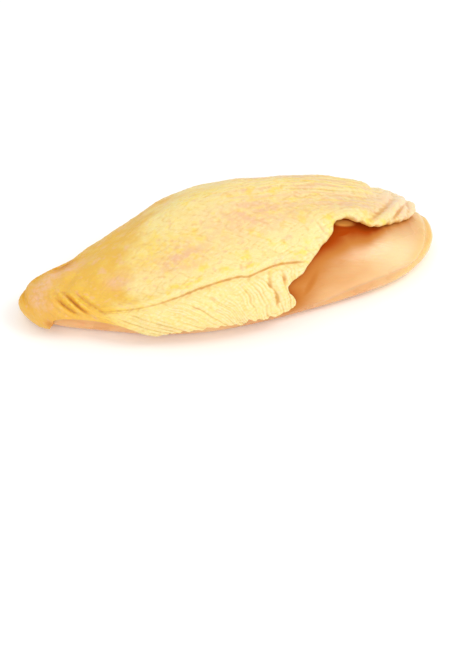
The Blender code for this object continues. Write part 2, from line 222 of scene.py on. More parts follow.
# Patches: place on the flat plan, and half width along and across.
PINK_PATCHES = (
    ((-78.0, -9.0), (6.5, 7.5)), ((-70.0, -1.0), (7.0, 5.5)), ((-62.0, 4.5), (7.0, 4.5)),
    ((-51.0, 4.0), (6.0, 4.0)), ((-40.0, -17.5), (5.0, 3.5)), ((56.0, -5.0), (9.0, 9.0)),
    ((36.0, -10.0), (14.0, 5.0)),
    ((5.0, -12.0), (14.0, 8.0)), ((-20.0, -20.0), (9.0, 6.0)), ((18.0, 12.0), (18.0, 5.0)),
)
YELLOW_PATCHES = (
    ((-66.0, -10.0), (4.0, 7.0)), ((-60.0, -20.0), (9.0, 6.0)), ((40.5, -14.5), (4.0, 3.0)),
    ((10.0, -10.0), (4.0, 2.5)), ((19.0, -13.5), (5.0, 2.5)), ((-18.0, -20.5), (7.0, 5.0)),
    ((-30.0, -45.0), (30.0, 9.0)), ((50.0, 6.0), (7.0, 8.0)), ((-50.0, -35.0), (10.0, 6.0)),
    ((-24.0, -14.0), (9.0, 8.0)), ((-8.0, 6.0), (9.0, 5.0)),
)
GOLD_PATCHES = (((-86.0, 2.0), (5.5, 13.0)), ((-75.0, 12.0), (9.0, 6.0)), ((-60.0, 14.0), (10.0, 6.0)))
# Painted shade in two notches of the skin's outline
NOTCH_SHADE_PATCHES = (((-57.0, 11.5), (5.5, 5.5)), ((-87.0, -23.0), (4.0, 3.0)))
SKIN_PATCHES = {"pink": PINK_PATCHES, "yellow": YELLOW_PATCHES, "gold": GOLD_PATCHES, "notch_shade": NOTCH_SHADE_PATCHES}
# A painted highlight on the meat
SHEEN_PATCH = ((58.0, -30.0), (16.0, 13.0))
# Painted light on the meat under the arch's top
ARCH_LIGHT_PATCH = ((32.8, -17.0), (4.2, 1.8))

# Where the skin turns from ochre to pale, along a slanted line, and where it is less pale again at the back
PALE_FROM, PALE_OVER, PALE_SLANT = -38.0, 27.0, 0.6
BACK_FROM, BACK_OVER, BACK_PALENESS = 12.0, 30.0, 0.55
HEM_COLOUR_OVER = 2.5
EDGE_COLOUR_SHARE = 0.9

# The painted shade on the meat along the skin's edge: how far it reaches, and where along and across it gets
# weaker
EDGE_STEPS = 120
SHADE_REACH_LEFT, SHADE_REACH_RIGHT = 13.0, 4.5
SHADE_REACH_FROM, SHADE_REACH_OVER = 30.0, 18.0
SHADE_RIGHT_FROM, SHADE_RIGHT_OVER, SHADE_RIGHT = 40.0, 14.0, 0.45
SHADE_FRONT_FROM, SHADE_FRONT_OVER, SHADE_FRONT = -24.0, 11.0, 0.66
FAT_FROM, FAT_OVER = 62.0, 16.0

# Streaks of painted reddish and deep orange shade on the meat beside the skin's edge: start, end, strength
# and half width.
SHADE_STREAKS = (
    ((26.0, -24.0), (37.0, -19.4), 1.0, 2.1),
    ((31.0, -21.4), (43.0, -17.0), 1.0, 1.7),
    ((24.0, -29.0), (15.0, -58.0), 0.55, 3.2),
)

# Faces, and the rings round the skin's edge: share of the thickness, and share of the bulge
SKIN_ACROSS, SKIN_ALONG = 236, 340
LINING_ACROSS, LINING_ALONG = 78, 113
RIM_RINGS = ((0.85, 0.45), (0.6, 0.95), (0.35, 0.95), (0.12, 0.5))
MEAT_CUTS = 119
HEM_CROWDING = 1.25
TIP_CROWDING = 1.06

# Camera, as the photograph was taken
PHOTO_WIDTH, PHOTO_HEIGHT = 450, 650
MM_PER_PIXEL = 0.419
LENS, SENSOR = 85.0, 36.0
CAMERA_ELEVATION = math.radians(42)
CAMERA_AZIMUTH = math.radians(-20)
AIM_PIXEL = (217.0, 256.0)
AIM_POINT = (-0.3, 15.95, 0.0)

# Light: place and size in metres, and power in watts
KEY_LIGHT = {"place": (0.55, -0.25, 0.75), "size": 0.4, "power": 2.4}
FRONT_LIGHT = {"place": (-0.45, -0.7, 0.6), "size": 0.7, "power": 2.5}
ROOM_LIGHT = 0.8

# The floor's size in metres
FLOOR_SIZE = 6.0

# Colours, as linear red, green and blue
SKIN_PALE = (0.92, 0.76, 0.33)
SKIN_OCHRE = (0.83, 0.49, 0.06)
SKIN_YELLOW = (0.95, 0.70, 0.07)
SKIN_PINK = (0.86, 0.51, 0.29)
# Painted shade in the skin's folds and notches
SKIN_FOLD_SHADE = (0.67, 0.26, 0.03)
# Painted shade in fine creases and in fine lines along the wrinkles
SKIN_CREASE_SHADE = (0.80, 0.46, 0.12)
# A painted highlight on crests and pimples
SKIN_CREST_HIGHLIGHT = (0.96, 0.82, 0.50)
SKIN_BUNCH = (0.95, 0.75, 0.53)
SKIN_GOLD = (0.80, 0.37, 0.015)
SKIN_EDGE = (0.74, 0.38, 0.07)
MEAT_PEACH = (0.71, 0.33, 0.10)
MEAT_PALE = (0.81, 0.47, 0.19)
# Painted shade on the meat along the skin's arched edge: ochre round a deep reddish core
MEAT_DEEP_SHADE = (0.42, 0.06, 0.004)
MEAT_SOFT_SHADE = (0.58, 0.215, 0.045)
# A painted highlight on the meat
MEAT_SHEEN = (0.90, 0.68, 0.36)
MEAT_FAT = (0.86, 0.57, 0.18)
# Painted light on the meat under the arch's top
MEAT_ARCH_LIGHT = (0.95, 0.42, 0.08)
FLOOR_PALE = (0.97, 0.96, 0.955)
FLOOR_GLOW = (1.0, 0.86, 0.76)

# Noises of the materials: cells to the centimetre, and detail
MOTTLE = (1.1, 4.0)
SPOTS = (2.1, 3.0)
STREAKS = (5.0, 3.0)
PATCHY = (3.4, 3.0)
FLECKS = (2.7, 4.0)
CROWN_LINES = (3.2, 2.0)
SKIN_FINE = (5.5, 4.0)
SKIN_GRAIN = (22.0, 3.0)
MEAT_FIBRES = (3.0, 5.0)
MEAT_BROAD = (0.55, 2.0)

# How much of a colour shows where its mask is full, from 0 to 1
YELLOW_SHARE = 0.75
GOLD_SHARE, TIP_GOLD_SHARE = 0.9, 0.55
FLECK_SHARE = 0.6
CROWN_LINE_SHARE = 0.7
HEM_PALE_SHARE = 0.55
BUNCH_SHARE = 0.8
# Painted shade in fine lines along the wrinkles
WRINKLE_SHADE_SHARE = 0.2
# Painted shade in folds, and how much paler it is on the bunched end
FOLD_SHADE_SHARE, BUNCH_FOLDS_PALER = 0.75, 0.65
FIBRE_SHARE = 0.1
# A painted highlight on the meat
SHEEN_SHARE = 0.9
FAT_SHARE = 0.8

# Fine lines of painted shade along the crossed wrinkles' headings: heading in degrees, and cells to the
# centimetre
WRINKLE_SHADE_LINES = ((28.0, 14.0), (-40.0, 11.0))

# Heading of the meat's colours, in degrees
MEAT_HEADING = 22.0


def smooth_step(x):
    x = np.clip(x, 0, 1)
    return x * x * (3 - 2 * x)


def ease(low, high, x):
    """Goes smoothly from low to high as x goes from 0 to 1."""
    return low + (high - low) * smooth_step(x)


def bell(away, half_width):
    return np.exp(-((away / half_width) ** 2))


def along_stations(values, share):
    """A smooth curve through evenly spaced stations, read at share, from -1 to 1."""
    values = np.asarray(values, float)
    last = len(values) - 1
    place = np.clip((share + 1) / 2 * last, 0, last - 1e-9)
    left = np.floor(place).astype(int)
    t = place - left
    slope = np.gradient(values)
    start, end = values[left], values[left + 1]
    go, come = slope[left], slope[left + 1]
    return (
        (2 * t**3 - 3 * t**2 + 1) * start
        + (t**3 - 2 * t**2 + t) * go
        + (3 * t**2 - 2 * t**3) * end
        + (t**3 - t**2) * come
    )


def breast_form(ball):
    """Stretches points of a unit ball to the meat's form, in millimetres."""
    lengthwise, sideways, upward = ball[..., 0], ball[..., 1], ball[..., 2]
    reach = np.where(
        sideways < 0,
        along_stations(REACH_FRONT, lengthwise),
        along_stations(REACH_BACK, lengthwise),
    )
    widest = along_stations(WIDEST_AT, lengthwise)
    rise = widest + along_stations(CROWN_RISE, lengthwise) * upward
    tuck = widest * (1 - np.sin(np.clip(-upward / FLAT_BELOW, 0, 1) * math.pi / 2))
    x = MIDDLE_X + HALF_LENGTH * lengthwise
    y = MIDDLE_Y + along_stations(CREST_Y, lengthwise) + reach * sideways
    return np.stack([x, y, np.where(upward >= 0, rise, tuck)], axis=-1)


def ball_from_flat(flat):
    """The point of the unit ball under a place on the flat plan: a quarter turn is the widest line."""
    scaled = flat / (FLAT_LENGTH, FLAT_GIRTH)
    turn = np.hypot(scaled[..., 0], scaled[..., 1])
    angle = turn * math.pi / 2
    spread = np.where(turn > 1e-6, np.sin(angle) / np.maximum(turn, 1e-6), math.pi / 2)
    return np.stack([spread * scaled[..., 0], spread * scaled[..., 1], np.cos(angle)], axis=-1)


def flat_from_ball(ball):
    """The place on the flat plan over a point of the unit ball."""
    angle = np.arccos(np.clip(ball[..., 2], -1, 1))
    level = np.maximum(np.hypot(ball[..., 0], ball[..., 1]), 1e-9)
    turn = angle / (math.pi / 2) / level
    return np.stack([ball[..., 0] * turn * FLAT_LENGTH, ball[..., 1] * turn * FLAT_GIRTH], axis=-1)


def breast_normal(flat):
    """The outward direction of the meat's form at places on the flat plan."""
    along, across = (SLOPE_STEP, 0), (0, SLOPE_STEP)
    east = breast_form(ball_from_flat(flat + along)) - breast_form(ball_from_flat(flat - along))
    north = breast_form(ball_from_flat(flat + across)) - breast_form(ball_from_flat(flat - across))
    normal = np.cross(east, north)
    return normal / np.linalg.norm(normal, axis=-1, keepdims=True)


def smooth_path(points, share):
    """A Catmull-Rom curve through points, read at share of its length, from 0 to 1."""
    knots = np.array([points[0], *points, points[-1]], float)
    knots[0] = 2 * knots[1] - knots[2]
    knots[-1] = 2 * knots[-2] - knots[-3]
    t = np.linspace(0, 1, CURVE_STEPS, endpoint=False)[:, None]
    runs = []
    for a, b, c, d in zip(knots, knots[1:], knots[2:], knots[3:]):
        runs.append(
            b + t * (c - a) / 2 + t**2 * (a - 2.5 * b + 2 * c - d / 2) + t**3 * ((d - a) / 2 + 1.5 * (b - c))
        )
    line = np.concatenate([*runs, knots[-2:-1]])
    length = np.concatenate([[0], np.cumsum(np.linalg.norm(np.diff(line, axis=0), axis=1))])
    at = np.asarray(share) * length[-1]
    return np.stack([np.interp(at, length, line[:, k]) for k in (0, 1)], axis=-1)


def scallops(line, kinds):
    """How far a line is moved across by scallops, each with a size and a pitch."""
    return sum(size * np.sin(line[..., 0] * 2 * math.pi / pitch + pitch) for size, pitch in kinds)


def hem_side(share):
    """The front side of the outline, with the ragged scallops of the hem's edge."""
    line = smooth_path(HEM_SIDE, share)
    begin = smooth_step((share - SCALLOPS_FROM) / SCALLOPS_BEGIN)
    line[..., 1] += scallops(line, HEM_SCALLOPS) * begin * smooth_step((1 - share) / SCALLOPS_END)
    return line


def back_side(share):
    return smooth_path(BACK_SIDE, share)


def tip_side(share):
    return smooth_path(TIP_SIDE, share)


def arch_side(share):
    """The arched edge at the thick end, a little ragged."""
    line = smooth_path(ARCH_SIDE, share)
    begin = smooth_step(share / ARCH_SCALLOPS_BEGIN)
    line[..., 1] += scallops(line, ARCH_SCALLOPS) * begin * smooth_step((1 - share) / ARCH_SCALLOPS_BEGIN)
    return line


SKIN_SIDES = (hem_side, back_side, tip_side, arch_side)


def blend_sides(s, t, front, back, left, right):
    """Fills four sides that share their corners. Each side is given as places at s or at t."""
    corners = [side(np.array(end)) for side, end in ((front, 0.0), (front, 1.0), (back, 0.0), (back, 1.0))]
    front, back, left, right = front(s), back(s), left(t), right(t)
    s, t = s[..., None], t[..., None]
    across = (1 - t) * front + t * back + (1 - s) * left + s * right
    near = (1 - s) * (1 - t) * corners[0] + s * (1 - t) * corners[1]
    return across - near - (1 - s) * t * corners[2] - s * t * corners[3]


def relaxed_plan():
    """A coarse plan of the skin: its lines start as a blend of the sides, and spread until none cross."""
    steps = [np.linspace(0, 1, cells + 1) for cells in PLAN_CELLS]
    s, t = np.meshgrid(*steps, indexing="ij")
    plan = blend_sides(s, t, *SKIN_SIDES)
    for _ in range(PLAN_ROUNDS):
        east = (plan[2:, 1:-1] - plan[:-2, 1:-1]) / 2
        north = (plan[1:-1, 2:] - plan[1:-1, :-2]) / 2
        skew = (plan[2:, 2:] - plan[2:, :-2] - plan[:-2, 2:] + plan[:-2, :-2]) / 4
        pull = (north**2).sum(-1, keepdims=True)
        push = (east**2).sum(-1, keepdims=True)
        lean = (east * north).sum(-1, keepdims=True)
        lengthwise = pull * (plan[2:, 1:-1] + plan[:-2, 1:-1])
        sideways = push * (plan[1:-1, 2:] + plan[1:-1, :-2])
        plan[1:-1, 1:-1] = (lengthwise + sideways - 2 * lean * skew) / (2 * (pull + push))
    return plan


def read_plan(plan, s, t):
    """Places of a coarse plan between its crossings."""
    x, y = s * PLAN_CELLS[0], t * PLAN_CELLS[1]
    i = np.clip(np.floor(x).astype(int), 0, PLAN_CELLS[0] - 1)
    j = np.clip(np.floor(y).astype(int), 0, PLAN_CELLS[1] - 1)
    x, y = (x - i)[..., None], (y - j)[..., None]
    low = plan[i, j] * (1 - x) + plan[i + 1, j] * x
    high = plan[i, j + 1] * (1 - x) + plan[i + 1, j + 1] * x
    return low * (1 - y) + high * y


def skin_plan(s, t):
    """The flat plan of the skin: s runs from the pointed end to the thick end, t from the hem to the back."""
    plan = relaxed_plan()
    front, back, left, right = SKIN_SIDES
    missing = blend_sides(
        s,
        t,
        lambda share: front(share) - read_plan(plan, share, 0 * share),
        lambda share: back(share) - read_plan(plan, share, 0 * share + 1),
        lambda share: left(share) - read_plan(plan, 0 * share, share),
        lambda share: right(share) - read_plan(plan, 0 * share + 1, share),
    )
    return read_plan(plan, s, t) + missing


def noise(places, size, seed):
    """Smooth value noise, from -1 to 1, over places in the plane. size is its cell, as one or two numbers."""
    table = np.random.default_rng(SEED + seed).uniform(-1, 1, (NOISE_CELLS, NOISE_CELLS))
    scaled = places / np.asarray(size)
    cell = np.floor(scaled).astype(int)
    part = smooth_step(scaled - cell)
    x0, y0 = cell[..., 0] % NOISE_CELLS, cell[..., 1] % NOISE_CELLS
    x1, y1 = (x0 + 1) % NOISE_CELLS, (y0 + 1) % NOISE_CELLS
    u, v = part[..., 0], part[..., 1]
    low = table[x0, y0] * (1 - u) + table[x1, y0] * u
    high = table[x0, y1] * (1 - u) + table[x1, y1] * u
    return low * (1 - v) + high * v


def strands(places, size, seed):
    """Rounded strands with narrow valleys between them, from 0 to 1."""
    return 1 - bell(noise(places, size, seed), STRAND_VALLEY)


def turned(places, degrees):
    """Places turned in the plane, so that noise can run along any heading."""
    c, s = math.cos(math.radians(degrees)), math.sin(math.radians(degrees))
    return places @ np.array([[c, -s], [s, c]])


def wrinkles(places, kinds):
    """The sum of several kinds of strands, each with its own heading and share."""
    return sum(share * strands(turned(places, heading), cell, seed) for heading, cell, seed, share in kinds)


def drift(flat, height, cell, seed):
    """A slow wander, in millimetres, that keeps strands from being regular."""
    return height * noise(flat, cell, seed)


def ridge(flat, start, end, height, half_width):
    """A rounded ridge, or a valley, from start to end that runs out softly at both ends."""
    start, end = np.array(start), np.array(end)
    run = end - start
    length = math.hypot(*run)
    past = np.clip((flat - start) @ run / length**2, 0, 1)
    away = np.linalg.norm(flat - (start + past[..., None] * run), axis=-1)
    fade = RIDGE_ENDS + (1 - RIDGE_ENDS) * np.sin(past * math.pi)
    return height * fade * bell(away, half_width)


def blob(flat, centre, half_widths):
    return np.exp(-(((flat - centre) / half_widths) ** 2).sum(-1))


def uneven(flat):
    """Slow swells of the surface."""
    total = np.zeros(flat.shape[:-1])
    for size, pitch, heading, phase in UNEVEN:
        way = (math.cos(math.radians(heading)), math.sin(math.radians(heading)))
        total += size * np.sin(flat @ way * 2 * math.pi / pitch + phase)
    return total


def hem_places(flat):
    """How far places lie below the crease, and how much they belong to the folded stretch."""
    line = smooth_path(CREASE, np.linspace(0, 1, LINE_STEPS))
    below = np.interp(flat[..., 0], line[:, 0], line[:, 1]) - flat[..., 1]
    begin = smooth_step((flat[..., 0] - CREASE[0][0]) / CREASE_BEGIN)
    within = begin * smooth_step((CREASE[-1][0] - flat[..., 0]) / CREASE_END)
    return below, within


def hem_strands(flat, below):
    """Fine strands of the hem, which lean over more towards the pointed end."""
    lean = ease(HEM_LEAN_LEFT, HEM_LEAN_RIGHT, flat[..., 0] / HEM_LEAN_OVER + 1)
    along = flat[..., 0] + lean * below + sum(drift(flat, *kind) for kind in HEM_DRIFTS)
    total = np.zeros(flat.shape[:-1])
    for height, pitch, seed in HEM_STRANDS:
        strand = np.abs(np.sin(math.pi * along / pitch)) ** HEM_ROUNDNESS - HEM_STRAND_MIDDLE
        total += height * strand * HEM_STRAND_SHARE * (1 + noise(flat, HEM_STRAND_CELL, seed))
    return total * smooth_step(below / HEM_STRANDS_BEGIN)


def hem_relief(flat):
    """The crease with its lip above, sharper towards the thick end, and the swollen hem below it."""
    below, within = hem_places(flat)
    sharp = ease(CREASE_LEAST_SHARP, 1, (flat[..., 0] - CREASE_SHARP_FROM) / CREASE_SHARP_OVER)
    deep = CREASE_LEAST_DEEP + (1 - CREASE_LEAST_DEEP) * sharp
    lip = CREASE_LIP * bell(below + CREASE_WIDTH, CREASE_WIDTH)
    cut = -CREASE_DEPTH * deep * bell(below - CREASE_BELOW * CREASE_WIDTH, CREASE_WIDTH)
    slit = -CREASE_SLIT_DEPTH * sharp * bell(below, CREASE_SLIT_WIDTH)
    swell = HEM_SWELL * np.sin(np.clip(below / HEM_WIDTH, 0, 1) * math.pi) ** HEM_ROUNDNESS
    return within * (lip + cut + slit + swell + hem_strands(flat, below))


def pimples(flat):
    """Goose pimples, from 0 to 1, on a jittered six-sided lattice."""
    rows = PIMPLE_PITCH * math.sqrt(3) / 2
    columns_drawn, rows_drawn = PIMPLE_DRAWS
    draws = np.random.default_rng(SEED).uniform(-1, 1, (columns_drawn, rows_drawn, 3))
    row = np.round(flat[..., 1] / rows).astype(int)
    best = np.zeros(flat.shape[:-1])
    for down in (-1, 0, 1):
        r = row + down
        shift = (r % 2) * 0.5
        column = np.round(flat[..., 0] / PIMPLE_PITCH - shift).astype(int)
        for side in (-1, 0, 1):
            c = column + side
            draw = draws[c % columns_drawn, r % rows_drawn]
            x = (c + shift + PIMPLE_JITTER * draw[..., 0]) * PIMPLE_PITCH
            y = (r + PIMPLE_JITTER * draw[..., 1]) * rows
            away = np.hypot(flat[..., 0] - x, flat[..., 1] - y)
            size = PIMPLE_SIZE + PIMPLE_SPREAD * draw[..., 2]
            best = np.maximum(best, size * bell(away, PIMPLE_RADIUS))
    return best


def fine_creases(flat):
    """Thin crossing valleys all over, and lengthwise wrinkles on the crown towards the thick end."""
    crossed = wrinkles(flat, CROSSED_WRINKLES) - len(CROSSED_WRINKLES)
    aside = drift(flat, *CROWN_DRIFT)
    lengthwise = wrinkles(turned(flat, CROWN_HEADING) + np.stack([0 * aside, aside], -1), CROWN_WRINKLES)
    return CROSSED_HEIGHT * crossed + CROWN_HEIGHT * blob(flat, *CROWN) * lengthwise


def wrinkled_ends(flat):
    """Short irregular folds at the bunched thick end and round the pointed end."""
    along, across = flat[..., 0] - FAN_CENTRE[0], flat[..., 1] - FAN_CENTRE[1]
    fanned = np.stack([np.arctan2(across, along) * FAN_RADIUS, np.hypot(along, across)], -1)
    fan = FAN_HEIGHT * blob(flat, *BUNCH) * (strands(fanned, FAN_CELL, FAN_SEED) - FAN_MIDDLE)
    return fan + TIP_HEIGHT * blob(flat, *TIP) * (wrinkles(flat, TIP_WRINKLES) - TIP_MIDDLE)


def skin_thickness(flat):
    """The skin's thickness with its folds, hem and swells, kept above its thinnest."""
    folds = sum(ridge(flat, *fold) for fold in TIP_FOLDS + BUNCH_FOLDS + HEM_FOLDS)
    spare = SKIN_THICKNESS + folds + hem_relief(flat) + uneven(flat) + wrinkled_ends(flat) - SKIN_AT_THINNEST
    return SKIN_AT_THINNEST + (spare + np.sqrt(spare**2 + SKIN_AT_THINNEST**2)) / 2


def outer_relief(flat):
    """The height of the skin's outer face over its lining."""
    smooth_tip = 1 - TIP_SMOOTHED * blob(flat, *TIP)
    return skin_thickness(flat) + smooth_tip * (PIMPLE_HEIGHT * pimples(flat) + fine_creases(flat))


def cavity(flat, reach, depth):
    """How deep places lie below what is round them, from -1 on a ridge to 1 in a valley."""
    turn = np.linspace(0, 2 * math.pi, HOLLOW_STEPS, endpoint=False)
    ring = reach * np.column_stack([np.cos(turn), np.sin(turn)])
    around = sum(outer_relief(flat + step) for step in ring) / len(ring)
    return np.clip((around - outer_relief(flat)) / depth, -1, 1)


def arch_lift(flat):
    """How far the skin stands off the meat near the notch of its edge."""
    return ARCH_LIFT * blob(flat, ARCH_TOP, (ARCH_REACH_ALONG, ARCH_REACH_ACROSS))


def skin_points(flat, share):
    """The skin, in metres: share 0 is the face towards the meat, and 1 the outer face."""
    height = outer_relief(flat) if share == 1 else skin_thickness(flat) * share
    offset = SKIN_GAP + arch_lift(flat) + height
    return (breast_form(ball_from_flat(flat)) + breast_normal(flat) * offset[..., None]) * MM


def meat_points(ball):
    """The meat's surface, in metres, with its grooves and its lengthwise grain."""
    flat = np.clip(flat_from_ball(ball), -FLAT_LIMIT, FLAT_LIMIT)
    points = breast_form(ball)
    relief = sum(ridge(flat, *groove) for groove in GROOVES)
    for height, heading, cell, seed in MEAT_GRAIN:
        relief += height * noise(turned(flat, heading), cell, seed)
    upper = smooth_step((ball[..., 2] - GROOVES_FROM) / GROOVES_BEGIN)
    points += breast_normal(flat) * (relief * upper)[..., None]
    points[..., 2] = np.maximum(points[..., 2], 0)
    return points * MM


def read_places(vertices):
    return np.array([vertex.co[:] for vertex in vertices])


def move_vertices(vertices, points):
    for vertex, point in zip(vertices, points):
        vertex.co = point


def add_sheet(mesh, layers, along, across, share):
    """One face of the skin as a grid. Returns its vertices and places, and its boundary edges."""
    sheet = bmesh.ops.create_grid(mesh, x_segments=along, y_segments=across, size=1)["verts"]
    places = (read_places(sheet) + 1) / 2
    flat = skin_plan(places[:, 0] ** TIP_CROWDING, places[:, 1] ** HEM_CROWDING)
    move_vertices(sheet, skin_points(flat, share))
    edges = {edge for vertex in sheet for edge in vertex.link_edges if edge.is_boundary}
    note_places(layers, sheet, flat, share)
    return dict(zip(sheet, flat)), list(edges)


def note_places(layers, vertices, flat, share):
    """Keeps each vertex's place on the flat plan, and its share of the thickness."""
    for vertex, (u, v) in zip(vertices, flat):
        vertex[layers["u"]] = u
        vertex[layers["v"]] = v
        vertex[layers["share"]] = share


def add_rim(mesh, layers, places, loop, share, bulge):
    """One more ring round the skin's edge. Returns its places and its loop of edges."""
    grown = bmesh.ops.extrude_edge_only(mesh, edges=loop)["geom"]
    ring = [item for item in grown if isinstance(item, bmesh.types.BMVert)]
    edges = [item for item in grown if isinstance(item, bmesh.types.BMEdge) and item.is_boundary]
    sources = [
        next(edge.other_vert(vertex) for edge in vertex.link_edges if edge.other_vert(vertex) in places)
        for vertex in ring
    ]
    flat = np.array([places[source] for source in sources])
    outward = flat / np.linalg.norm(flat, axis=1, keepdims=True)
    move_vertices(ring, skin_points(flat + outward * bulge * EDGE_BULGE, share))
    note_places(layers, ring, flat, share)
    return dict(zip(ring, flat)), edges


def make_skin():
    """The skin at full detail: an outer face, a rounded edge and a coarser lining."""
    mesh = bmesh.new()
    layers = {name: mesh.verts.layers.float.new(name) for name in ("u", "v", "share")}
    places, loop = add_sheet(mesh, layers, SKIN_ALONG, SKIN_ACROSS, 1.0)
    for share, bulge in RIM_RINGS:
        places, loop = add_rim(mesh, layers, places, loop, share, bulge)
    lining_loop = add_sheet(mesh, layers, LINING_ALONG, LINING_ACROSS, 0.0)[1]
    bmesh.ops.bridge_loops(mesh, edges=loop + lining_loop)
    skin = finish_object(mesh, "breast_skin")
    add_skin_masks(skin)
    return skin


def make_meat():
    """The meat at full detail: a finely cut cube, blown up to a ball and stretched to the breast."""
    mesh = bmesh.new()
    bmesh.ops.create_cube(mesh, size=2)
    bmesh.ops.subdivide_edges(mesh, edges=mesh.edges[:], cuts=MEAT_CUTS, use_grid_fill=True)
    places = np.tan(read_places(mesh.verts) * math.pi / 4)
    ball = places / np.linalg.norm(places, axis=1, keepdims=True)
    move_vertices(mesh.verts, meat_points(ball))
    meat = finish_object(mesh, "breast_meat")
    add_meat_masks(meat, np.clip(flat_from_ball(ball), -FLAT_LIMIT, FLAT_LIMIT))
    return meat


def finish_object(mesh, name):
    """Makes the named object, closed, facing out and shaded smooth."""
    bmesh.ops.triangulate(mesh, faces=mesh.faces[:])
    bmesh.ops.recalc_face_normals(mesh, faces=mesh.faces[:])
    data = bpy.data.meshes.new(name)
    mesh.to_mesh(data)
    mesh.free()
    data.shade_smooth()
    piece = bpy.data.objects.new(name, data)
    bpy.context.scene.collection.objects.link(piece)
    return piece


def add_mask(piece, name, values):
    mask = piece.data.attributes.new(name, "FLOAT", "POINT")
    mask.data.foreach_set("value", np.asarray(values, np.float32))


def add_plan(piece, flat):
    """The place on the flat plan, in centimetres, for the textures of the material."""
    plan = piece.data.attributes.new("plan", "FLOAT_VECTOR", "POINT")
    spots = np.column_stack([flat / 10, np.zeros(len(flat))])
    plan.data.foreach_set("vector", spots.astype(np.float32).ravel())


def read_mask(piece, name):
    values = np.zeros(len(piece.data.vertices), np.float32)
    piece.data.attributes[name].data.foreach_get("value", values)
    return values


def add_skin_masks(skin):
    """Masks, from 0 to 1, that tell the skin's material where to paint shade in hollows and a highlight on
    ridges, and where it is pale, fatty or cut.
    """
    flat = np.column_stack([read_mask(skin, "u"), read_mask(skin, "v")]).astype(float)
    share = read_mask(skin, "share")
    add_plan(skin, flat)
    below, within = hem_places(flat)
    fine = cavity(flat, *FINE_HOLLOWS)
    # Painted shade in broad hollows
    add_mask(skin, "fold", np.maximum(cavity(flat, *BROAD_HOLLOWS), 0))
    # Painted shade in fine hollows
    add_mask(skin, "line", np.maximum(fine, 0))
    # A painted highlight on fine ridges
    add_mask(skin, "crest_highlight", np.maximum(-fine, 0))
    add_mask(skin, "hem", within * smooth_step(below / HEM_COLOUR_OVER))
    add_mask(skin, "edge", 1 - smooth_step(share / EDGE_COLOUR_SHARE))
    for name, patches in SKIN_PATCHES.items():
        add_mask(skin, name, np.clip(sum(blob(flat, *patch) for patch in patches), 0, 1))
    for name, place in (("tip", TIP), ("bunch", BUNCH), ("crown", CROWN)):
        add_mask(skin, name, blob(flat, *place))
    pale = smooth_step((flat[:, 0] - PALE_FROM - PALE_SLANT * flat[:, 1]) / PALE_OVER)
    add_mask(skin, "pale", pale * ease(1, BACK_PALENESS, (flat[:, 1] - BACK_FROM) / BACK_OVER))


def add_meat_masks(meat, flat):
    """Masks that tell the meat's material where to paint shade along the skin's edge, painted light under the
    arch's top and a painted highlight, and where it is fat.
    """
    add_plan(meat, flat)
    # Painted shade on the meat along the skin's arched edge, with streaks of it
    edge = arch_side(np.linspace(0, 1, EDGE_STEPS))
    away = np.min([np.hypot(*(flat - place).T) for place in edge], axis=0)
    reach = ease(SHADE_REACH_LEFT, SHADE_REACH_RIGHT, (flat[:, 0] - SHADE_REACH_FROM) / SHADE_REACH_OVER)
    red = np.exp(-away / reach) * ease(1, SHADE_RIGHT, (flat[:, 0] - SHADE_RIGHT_FROM) / SHADE_RIGHT_OVER)
    red *= ease(1, SHADE_FRONT, (SHADE_FRONT_FROM - flat[:, 1]) / SHADE_FRONT_OVER)
    add_mask(meat, "red", np.max([red, *(ridge(flat, *streak) for streak in SHADE_STREAKS)], axis=0))
    # Painted light under the arch's top
    add_mask(meat, "arch_light", blob(flat, *ARCH_LIGHT_PATCH))
    # A painted highlight on the meat
    add_mask(meat, "painted_sheen", blob(flat, *SHEEN_PATCH))
    add_mask(meat, "fat", smooth_step((flat[:, 0] - FAT_FROM) / FAT_OVER))


